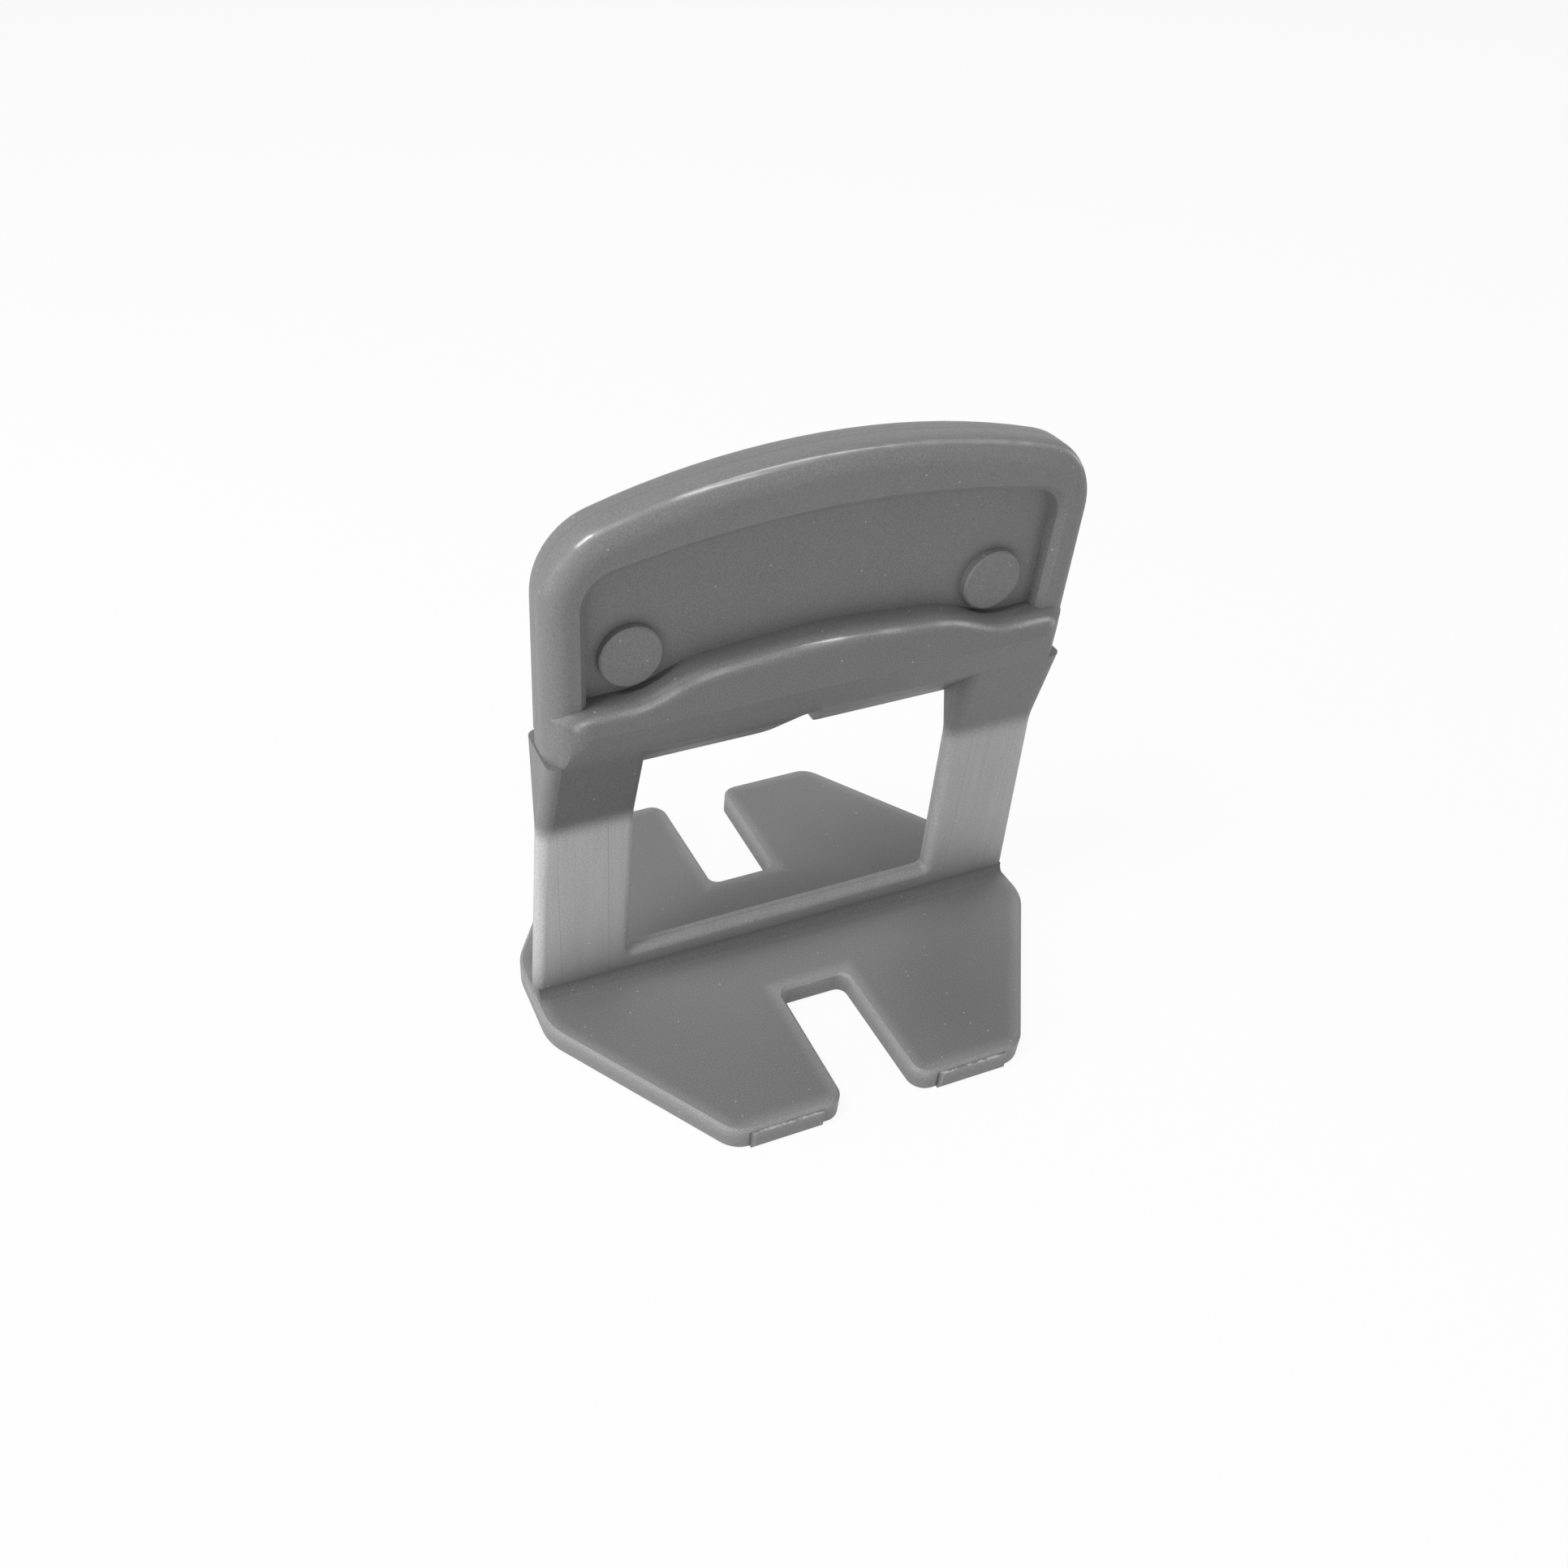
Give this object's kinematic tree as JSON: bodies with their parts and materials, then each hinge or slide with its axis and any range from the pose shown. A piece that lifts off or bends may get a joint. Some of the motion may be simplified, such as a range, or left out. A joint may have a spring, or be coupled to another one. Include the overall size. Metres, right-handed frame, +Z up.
{
  "type": "tile levelling clip",
  "caption": "Grey plastic levelling clip: thin slotted base plate, two thin legs around a wedge window, and a thick arched head with a recessed face.",
  "frame": {"origin": "on the underside of the base plate, below the middle of the joint that the legs stand in", "axes": "+X runs along the joint, +Y across it towards the rear wing of the plate, +Z up along the legs towards the head"},
  "size_m": [0.0404, 0.0342, 0.0421],
  "materials": {
    "clip_plastic": "mid grey polypropylene, semi-matt as moulded, with a soft sheen on the rounded edges"
  },
  "bodies": {
    "root": {"levelling_clip": "clip_plastic"}
  },
  "joints": []
}
